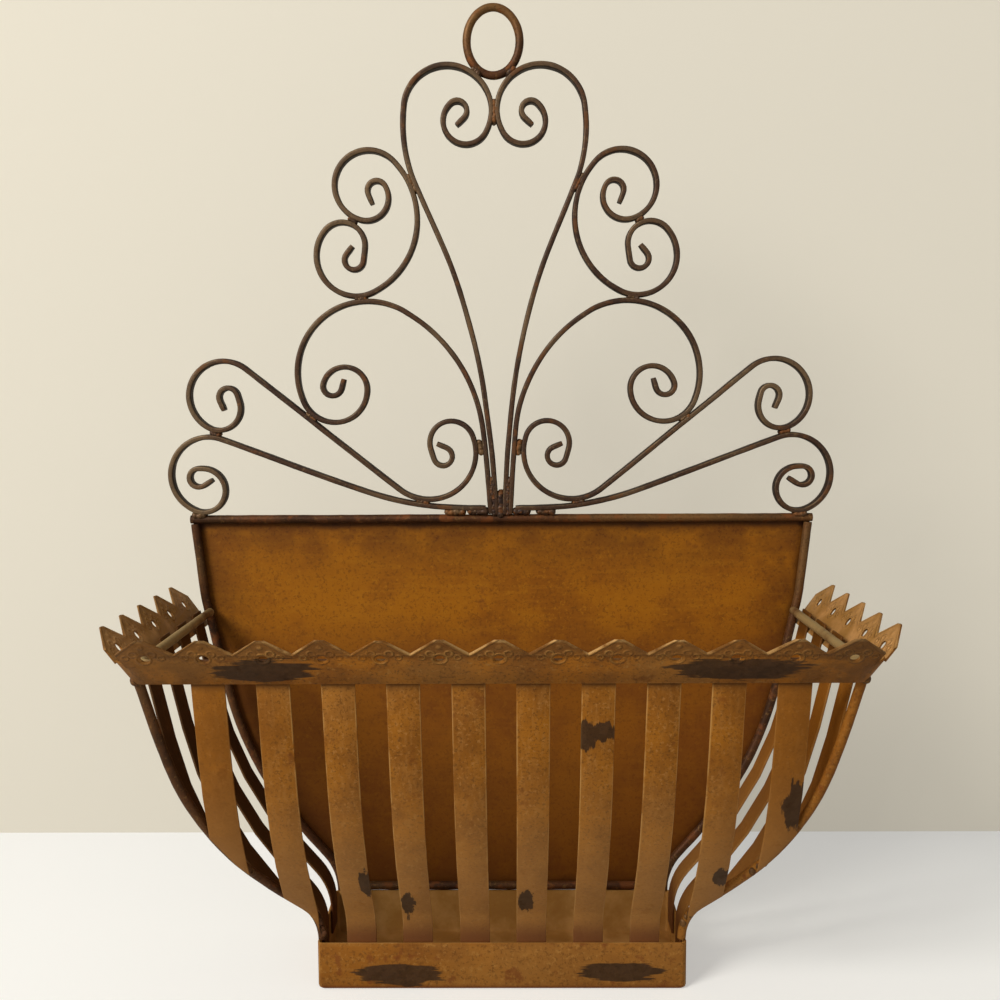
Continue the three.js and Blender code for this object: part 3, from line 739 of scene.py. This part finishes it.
# the rim's rod: olive-tan at the sides, painted shade along the front
lines["rim_rod"] = smoothLine(rodLine("rim_rod", (-0.3, 1, 0)), rimRod["Step"] * mm)
barPiece("rim_rod", lines["rim_rod"], rimRod, "rimPaintShadedFront", "dark_rod")


def ringLine(rodMm, count=96):
    # the oval's middle line, from the node's own box
    low, high = nodeBox("hanging_ring")
    middle = (low + high) / 2
    halfWide = (high.x - low.x) / 2 - rodMm / 2 * mm
    halfTall = (high.z - low.z) / 2 - rodMm / 2 * mm
    turns = [2 * math.pi * i / count for i in range(count)]
    return [middle + Vector((halfWide * math.cos(t), 0, halfTall * math.sin(t))) for t in turns]


ringRod = dict(frameRod, Step=1.5, Across=4.8, Deep=4.8, Corner=2.35, Waver=0.7)
lines["hanging_ring"] = ringLine(ringRod["Across"])
barPiece("hanging_ring", lines["hanging_ring"], ringRod, "darkRodSteel", "dark_rod", closed=True)
print("rods made")


# Sheet and strip: the frame's own shapes with their edges eased and their metal marked.

def dressed(name, finish, slot, easeMm, marks, alter=None):
    # the node's merged mesh, its edges bevelled, with named values on every face corner
    shape = cadMesh(name)
    bmesh.ops.dissolve_limit(shape, angle_limit=math.radians(0.5), verts=shape.verts[:],
                             edges=shape.edges[:])
    if alter:
        alter(shape)
    mesh = bpy.data.meshes.new(name)
    shape.to_mesh(mesh)
    shape.free()
    piece = linkObject(f"dressed_{name}", mesh, materials[finish])
    bevel = piece.modifiers.new("eased", "BEVEL")
    bevel.width = easeMm * mm
    bevel.segments = 2
    bevel.limit_method = "ANGLE"
    bevel.angle_limit = math.radians(40)
    madePlain(piece)
    mesh = piece.data
    for label, kind, valueAt in marks:
        values = mesh.attributes.new(label, kind, "CORNER")
        for face in mesh.polygons:
            for corner in face.loop_indices:
                value = valueAt(mesh.vertices[mesh.loops[corner].vertex_index].co, face)
                if kind == "FLOAT":
                    values.data[corner].value = value
                else:
                    values.data[corner].vector = value
    mesh.shade_smooth()
    mesh.set_sharp_from_angle(angle=math.radians(35))
    settle(piece, slot, name)


def wandering(axis, seed):
    # moves a strip's edges sideways a little, as hand-cut strip does
    def alter(shape):
        for v in shape.verts:
            spot = Vector((v.co.z * slatStrip["wavesPerMetre"], seed * 7.3, 0))
            v.co[axis] += slatStrip["wander"] * mm * noise.noise(spot)
    return alter


def acrossStrip(axis, middle):
    thick = slatStrip["halfThick"] * mm
    return [("section", "FLOAT_VECTOR", lambda co, face: (co[axis] - middle, thick, 0))]


def boxMiddle(name, axis):
    low, high = nodeBox(name)
    return (low[axis] + high[axis]) / 2


def slatRow(prefix, axis, count, whole, seed, finish):
    # the row's middles, from two whole slats that stand side by side
    start = boxMiddle(f"{prefix}_{whole}", axis)
    pitch = boxMiddle(f"{prefix}_{whole + 1}", axis) - start
    for i in range(1, count + 1):
        middle = start + (i - whole) * pitch
        dressed(f"{prefix}_{i}", finish, "slat_gold", slatStrip["ease"],
                acrossStrip(axis, middle), wandering(axis, seed + i))


slatStrip = {"ease": 0.3, "halfThick": 0.6, "wander": 0.3, "wavesPerMetre": 9}
slatRow("front_slat", 0, 10, 5, 0, "goldSlatPaint")
# the left side's strips take the darkened paint: painted shade
slatRow("side_slat_left", 1, 4, 1, 20, "shadedLeftSlatPaint")
slatRow("side_slat_right", 1, 4, 1, 20, "goldSlatPaint")
print("slats made")

# inside the tray is what lies nearer its middle than this, and above its floor's underside (mm)
traySheet = {"ease": 0.25, "insideX": 102.8, "insideY": 33.8, "insideZ": 0.8}


def insideTray(co, face):
    x, y, z = face.center / mm
    return float(abs(x) < traySheet["insideX"] and abs(y) < traySheet["insideY"]
                 and z > traySheet["insideZ"])


dressed("base_tray", "rustyTrayPaint", "tray_sheet", traySheet["ease"],
        [("inner", "FLOAT", insideTray)])

# the band leans out by so many degrees; its teeth start a little outside the foot's corners and
# behind its sides' ends (mm); the tips are flattened by hammering, at most within "tipDeep"
galleryBand = {"ease": 0.18, "lean": 36, "frontTeeth": 13, "sideTeeth": 5, "cornerOut": 3.6,
               "endOut": 0.5, "tipDeep": 1.7, "flat": 1.3, "knock": 0.6, "knocksPerMetre": 60}


def stripPlace(band):
    # gives a place on the gallery as teeth along its strip and metres up its slope
    low, high = nodeBox("gallery")
    foot = [v.co for v in cadMesh("gallery").verts if v.co.z < low.z + 0.2 * mm]
    half = max(abs(co.x) for co in foot)
    front = min(co.y for co in foot)
    lean = math.radians(band["lean"])
    frontHalf = half + band["cornerOut"] * mm
    frontTooth = 2 * frontHalf / band["frontTeeth"]
    sideStart = front - band["endOut"] * mm
    sideTooth = (high.y - sideStart) / band["sideTeeth"]

    def at(co, face):
        middle = face.center
        out = (middle.z - low.z) * math.tan(lean)
        offFront = abs(middle.y - front + out)
        offSide = abs(abs(middle.x) - half - out)
        up = (co.z - low.z) / math.cos(lean)
        if offFront < offSide:
            return ((co.x + frontHalf) / frontTooth, up, 0)
        return ((co.y - sideStart) / sideTooth, up, 0)

    return at


def bluntTeeth(shape):
    # the tips are flattened and knocked a little in or out
    tip = max(v.co.z for v in shape.verts)
    waves, reach = galleryBand["knocksPerMetre"], galleryBand["knock"] * mm
    for v in shape.verts:
        if v.co.z > tip - galleryBand["tipDeep"] * mm:
            knock = reach * noise.noise(Vector((v.co.x * waves, v.co.y * waves, 4.2)))
            v.co.z = min(v.co.z, tip - galleryBand["flat"] * mm - knock)
            v.co.y += knock


def insideGallery(co, face):
    # the band's faces that look over the bowl's mouth
    return float(face.normal.z > 0.2 and face.normal.dot(face.center) < 0)


dressed("gallery", "greyedGalleryPaint", "gallery_sheet", galleryBand["ease"],
        [("strip", "FLOAT_VECTOR", stripPlace(galleryBand)), ("inner", "FLOAT", insideGallery)],
        bluntTeeth)

# the back sheet's grid of cuts across and up, and how it bulges between its welds
backSheet = {"ease": 0.2, "across": 44, "up": 28, "bulge": 0.3, "wavesPerMetre": 16}


def slicedSheet(shape):
    # a grid over the sheet, pushed in and out of flat a little between its welds
    for axis, count in ((0, backSheet["across"]), (2, backSheet["up"])):
        spots = [v.co[axis] for v in shape.verts]
        low, high = min(spots), max(spots)
        square = Vector((0, 0, 0))
        square[axis] = 1
        for i in range(1, count):
            bmesh.ops.bisect_plane(
                shape, geom=shape.verts[:] + shape.edges[:] + shape.faces[:], dist=1e-6,
                plane_co=square * (low + (high - low) * i / count), plane_no=square)
    waves = backSheet["wavesPerMetre"]
    for v in shape.verts:
        swell = 0.5 + 0.5 * noise.noise(Vector((v.co.x * waves, 3.1, v.co.z * waves)))
        v.co.y -= backSheet["bulge"] * mm * swell


def sheetEdge():
    # distance from a place on the back sheet to its nearest edge
    outline = sorted((v.co.z, v.co.x) for v in cadMesh("back_panel").verts if v.co.x > 0)
    low, high = outline[0][0], outline[-1][0]

    def at(co, face):
        above = next((i for i, spot in enumerate(outline) if spot[0] >= co.z), len(outline) - 1)
        first, second = outline[max(above - 1, 0)], outline[above]
        share = (co.z - first[0]) / max(second[0] - first[0], 1e-9)
        half = first[1] + (second[1] - first[1]) * min(max(share, 0), 1)
        return min(half - abs(co.x), co.z - low, high - co.z)

    return at


dressed("back_panel", "bronzePanelPaint", "panel_sheet", backSheet["ease"],
        [("fromEdge", "FLOAT", sheetEdge())], slicedSheet)
print("sheets made")


# Weld beads.

def closest(first, second, near, within=16, apart=10):
    # where two lines come nearest each other, close to a rough place given as (x, z) in mm; a bar
    # that meets itself does so between points that lie apart along it
    spot = Vector((near[0] * mm, first[0].y, near[1] * mm))
    firsts = [(i, p) for i, p in enumerate(first) if (p - spot).length < within * mm]
    seconds = [(i, p) for i, p in enumerate(second) if (p - spot).length < within * mm]
    pairs = [((p - q).length, i, j, (p + q) / 2, p - q) for i, p in firsts for j, q in seconds
             if first is not second or abs(i - j) > apart]
    middle, across = min(pairs, key=lambda pair: pair[:3])[3:]
    return middle, across.normalized()


# layers of beads through the bars' depth, how near their centres come to its faces, and how much
# the beads wander and differ in size
seamBeads = {"layers": (-1.0, -0.35, 0.35, 1.0), "halfDeep": 3.6, "perSize": 1.6,
             "wander": 0.25, "smallest": 0.7, "largest": 1.15}


def seam(place, across, sizeMm, longMm, lift=0.0):
    # beads through the depth of two bars, spread along the line where they touch; a lift of 0.5
    # starts them at the place and takes them upwards
    along = Vector((-across.z, 0, across.x))
    if along.z < 0:
        along = -along
    beads = []
    count = max(3, round(longMm / sizeMm * seamBeads["perSize"]))
    wander = seamBeads["wander"]
    for layer in seamBeads["layers"]:
        for i in range(count):
            share = i / (count - 1) - 0.5 + lift
            off = Vector([random.uniform(-wander, wander) * mm for axis in range(3)])
            size = sizeMm * random.uniform(seamBeads["smallest"], seamBeads["largest"]) * mm
            inset = layer * (seamBeads["halfDeep"] * mm - size)
            spot = place + along * (share * longMm * mm) + Vector((0, inset, 0)) + off
            beads.append((spot, (size, size, size)))
    return beads


def beadPiece(name, beads, finish, slot, lumpMm, grain, voxelMm=0.3):
    mesh = bpy.data.meshes.new(name)
    mesh.from_pydata([tuple(spot) for spot, size in beads], [], [])
    sizes = mesh.attributes.new("size", "FLOAT_VECTOR", "POINT")
    for i, (spot, size) in enumerate(beads):
        sizes.data[i].vector = size
    settings = {"Lump": lumpMm * mm, "Grain": grain, "Seed": 4, "Material": materials[finish]}
    piece = grown(name, mesh, weldBeads, settings)
    # runs the beads together as molten metal does
    melted = piece.modifiers.new("melted", "REMESH")
    melted.mode = "VOXEL"
    melted.voxel_size = voxelMm * mm
    melted.use_smooth_shade = True
    madePlain(piece)
    piece.data.materials.clear()
    piece.data.materials.append(materials[finish])
    settle(piece, slot)


# which bars meet, roughly where on the left, the beads' size and the seam's length (mm), its lift
crestWelds = [
    ("heart_scroll", "shoulder_scroll", (-45.3, 449.2), 1.5, 9.0),
    ("shoulder_scroll", "shoulder_scroll", (-86.6, 433.9), 1.3, 3.0),
    ("shoulder_scroll", "fan_scroll", (-75.5, 388.6), 1.5, 4.5),
    ("fan_scroll", "upper_wing", (-110.5, 324.0), 1.5, 4.5),
    ("upper_wing", "lower_wing", (-164.7, 309.3), 1.4, 4.0),
    ("upper_wing", "lower_wing", (-39.5, 267.6), 1.4, 5.0),
    ("upper_wing", "fan_scroll", (-12.0, 296.7), 1.8, 6.0),
    ("fan_scroll", "heart_scroll", (-5.1, 292.0), 1.2, 12.0),
    ("fan_scroll", "heart_scroll", (-5.1, 268.0), 1.4, 17.0, 0.5),
]
# seams in the gap over the top rail: across, up from the rail, beads' size, length (mm)
railWelds = [
    (-27.5, 1.6, 1.9, 9.0), (-13.5, 1.9, 2.1, 9.0), (12.5, 1.9, 2.1, 7.0),
    (27.0, 1.6, 1.9, 8.0), (-181.0, 0.0, 1.9, 5.0), (179.0, 0.0, 1.9, 5.0),
]
random.seed(11)
beads = []
for hand, side in hands.items():
    for first, second, near, size, long, *lift in crestWelds:
        place, across = closest(lines[f"{first}_{hand}"], lines[f"{second}_{hand}"],
                                (-side * near[0], near[1]))
        beads += seam(place, across, size, long, *lift)
    place, across = closest(lines[f"heart_scroll_{hand}"], lines["hanging_ring"], (side * 9, 517))
    beads += seam(place, across, 1.6, 4.0)
hearts = (lines["heart_scroll_left"], lines["heart_scroll_right"])
place, across = closest(*hearts, (-3.0, 492.0))
beads += seam(place, across, 1.5, 11.0)
stems, across = closest(*hearts, (0.0, 268.0))
beads += seam(stems, across, 2.4, 12.0, 0.5)
railTop = nodeBox("top_rail")[1].z
for x, up, size, long in railWelds:
    spot = Vector((x * mm, stems.y, railTop + up * mm))
    beads += seam(spot, Vector((0, 0, 1)), size, long)
beadPiece("crest_welds", beads, "scaledWeldSteel", "scroll_bar", 1.1, 420.0)


# lumps up a trimmed slat's foot (mm up from it, size) and at the gallery's corner (mm from the
# corner rod's top, x outwards, and size)
footLumps = [(0.5, 1.8), (3.5, 1.5), (7.5, 2.0), (12.0, 1.3)]
galleryLumps = [(1.0, -2.0, 1.0, 2.6), (-2.5, -2.2, 2.0, 2.0), (2.2, 0.5, 2.5, 2.2)]


def cornerLumps(hand, slats):
    # molten lumps where the trimmed slats' feet end on a corner rod, and at the gallery's corner
    side = hands[hand]
    beads = []
    rod = lines[f"corner_rod_{hand}"]
    for slat in slats:
        foot = nodeBox(f"front_slat_{slat}")[0].z
        for up, size in footLumps:
            near = min(rod, key=lambda p: abs(p.z - foot - up * mm))
            spot = near + Vector((-side * 1.2, -1.9, random.uniform(-0.8, 0.8))) * mm
            wide = size * random.uniform(0.8, 1.1) * mm
            beads.append((spot, (wide, wide * 0.8, wide * 1.2)))
    for x, y, z, size in galleryLumps:
        spot = rod[-1] + Vector((side * x, y, z)) * mm
        beads.append((spot, (size * mm, size * mm, size * mm)))
    return beads


beadPiece("bowl_welds", cornerLumps("left", (1, 2)) + cornerLumps("right", (10, 9)),
          "darkRodSteel", "dark_rod", 1.2, 300.0)
print("welds made")


# The setting.

settingLook = {
    "floor": {"colour": "#fbfaf6", "dull": 0.56, "glow": 0.42},
    "wall": {"colour": "#ece5d4", "dull": 0.46, "glow": 0.41},
    "wallBack": 0.195,      # metres behind the middle of the tray
    "reach": 3.0,
}


def plainMatt(name, look, oneSided=False):
    material = bpy.data.materials.new(name)
    material.use_nodes = True
    tree = material.node_tree
    shader = tree.nodes["Principled BSDF"]
    seenColour = linear(look["colour"])
    shader.inputs["Base Color"].default_value = [c * look["dull"] for c in seenColour[:3]] + [1]
    shader.inputs["Roughness"].default_value = 0.9
    # brighter to the eye than to the piece, so that the ground stays pale and even
    seen = addNode(tree, "ShaderNodeLightPath").outputs
    direct = maths(tree, "MAXIMUM", seen["Is Camera Ray"], seen["Is Transmission Ray"])
    shader.inputs["Emission Color"].default_value = seenColour
    tree.links.new(times(tree, direct, look["glow"]), shader.inputs["Emission Strength"])
    shader.inputs["Specular IOR Level"].default_value = 0.1
    if oneSided:
        # seen and lit from the front only, so that a view from behind passes through it
        clear = addNode(tree, "ShaderNodeBsdfTransparent").outputs[0]
        facing = addNode(tree, "ShaderNodeNewGeometry").outputs["Backfacing"]
        mixed = addNode(tree, "ShaderNodeMixShader", {0: facing, 1: shader.outputs[0], 2: clear})
        tree.links.new(mixed.outputs[0], tree.nodes["Material Output"].inputs["Surface"])
    return material


def flatPiece(name, corners, material):
    mesh = bpy.data.meshes.new(name)
    mesh.from_pydata(corners, [], [(0, 1, 2, 3)])
    return linkObject(name, mesh, material)


def makeSetting(look):
    far, back = look["reach"], look["wallBack"]
    level = [(-far, -far, 0), (far, -far, 0), (far, far, 0), (-far, far, 0)]
    upright = [(-far, back, 0), (far, back, 0), (far, back, far), (-far, back, far)]
    floor = flatPiece("floor", level, plainMatt("paleTable", look["floor"]))
    wall = flatPiece("backdrop", upright, plainMatt("creamWall", look["wall"], True))


makeCamera(cameraSettings)
makeLights(lightSettings)
makeSetting(settingLook)
bpy.context.scene.view_settings.view_transform = "Standard"
